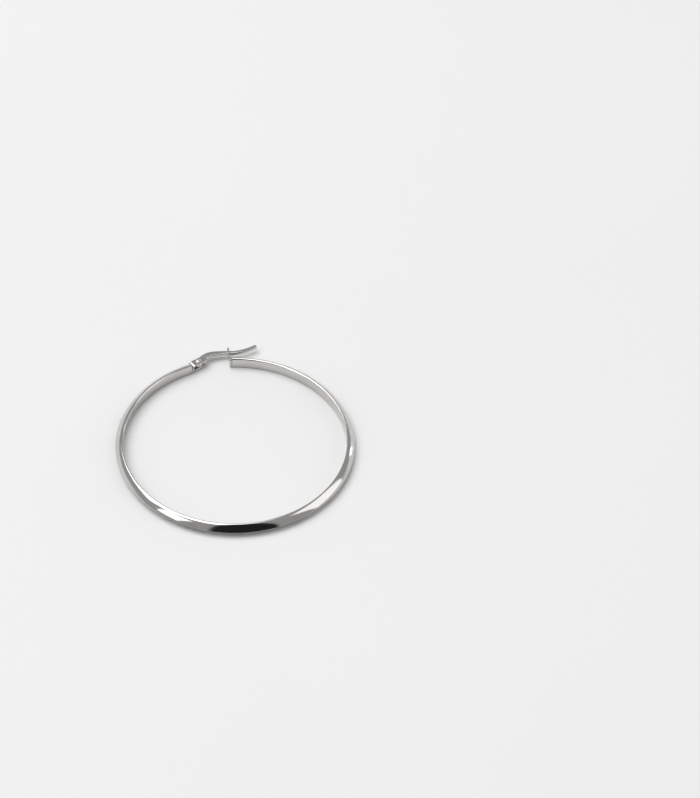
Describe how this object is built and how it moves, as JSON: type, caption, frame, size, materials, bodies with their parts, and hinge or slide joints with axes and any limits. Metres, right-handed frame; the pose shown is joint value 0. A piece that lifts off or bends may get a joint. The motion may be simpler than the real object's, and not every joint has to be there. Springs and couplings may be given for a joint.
{
  "type": "hoop earring",
  "caption": "Polished steel hoop earring of hollow knife-edge tube, closed by a hinged ear wire that snaps into a forked catch.",
  "frame": {"origin": "middle of the earring's outline on the plane that it lies on", "axes": "+Z along the hoop's axis, up from the surface that it lies on; +Y from the hoop's centre towards the closure"},
  "size_m": [0.05, 0.0522, 0.0026],
  "materials": {
    "polished_tube": "mirror-polished stainless steel with faint rolling lines",
    "stamped_strip": "bright stamped stainless steel strip",
    "polished_wire": "polished drawn stainless steel wire"
  },
  "bodies": {
    "hoop_frame": {"hoop_tube": "polished_tube", "hinge_bracket": "stamped_strip", "hinge_rivet": "polished_wire", "catch_fork": "stamped_strip"},
    "lever": {"ear_wire": "polished_wire"}
  },
  "joints": [
    {"name": "ear_wire_hinge", "type": "hinge", "parent": "hoop_frame", "child": "lever", "pos_m": [-0.00272, 0.0234, 0.0013], "axis": [0, 0, 1], "range_deg": [0, 80]}
  ]
}
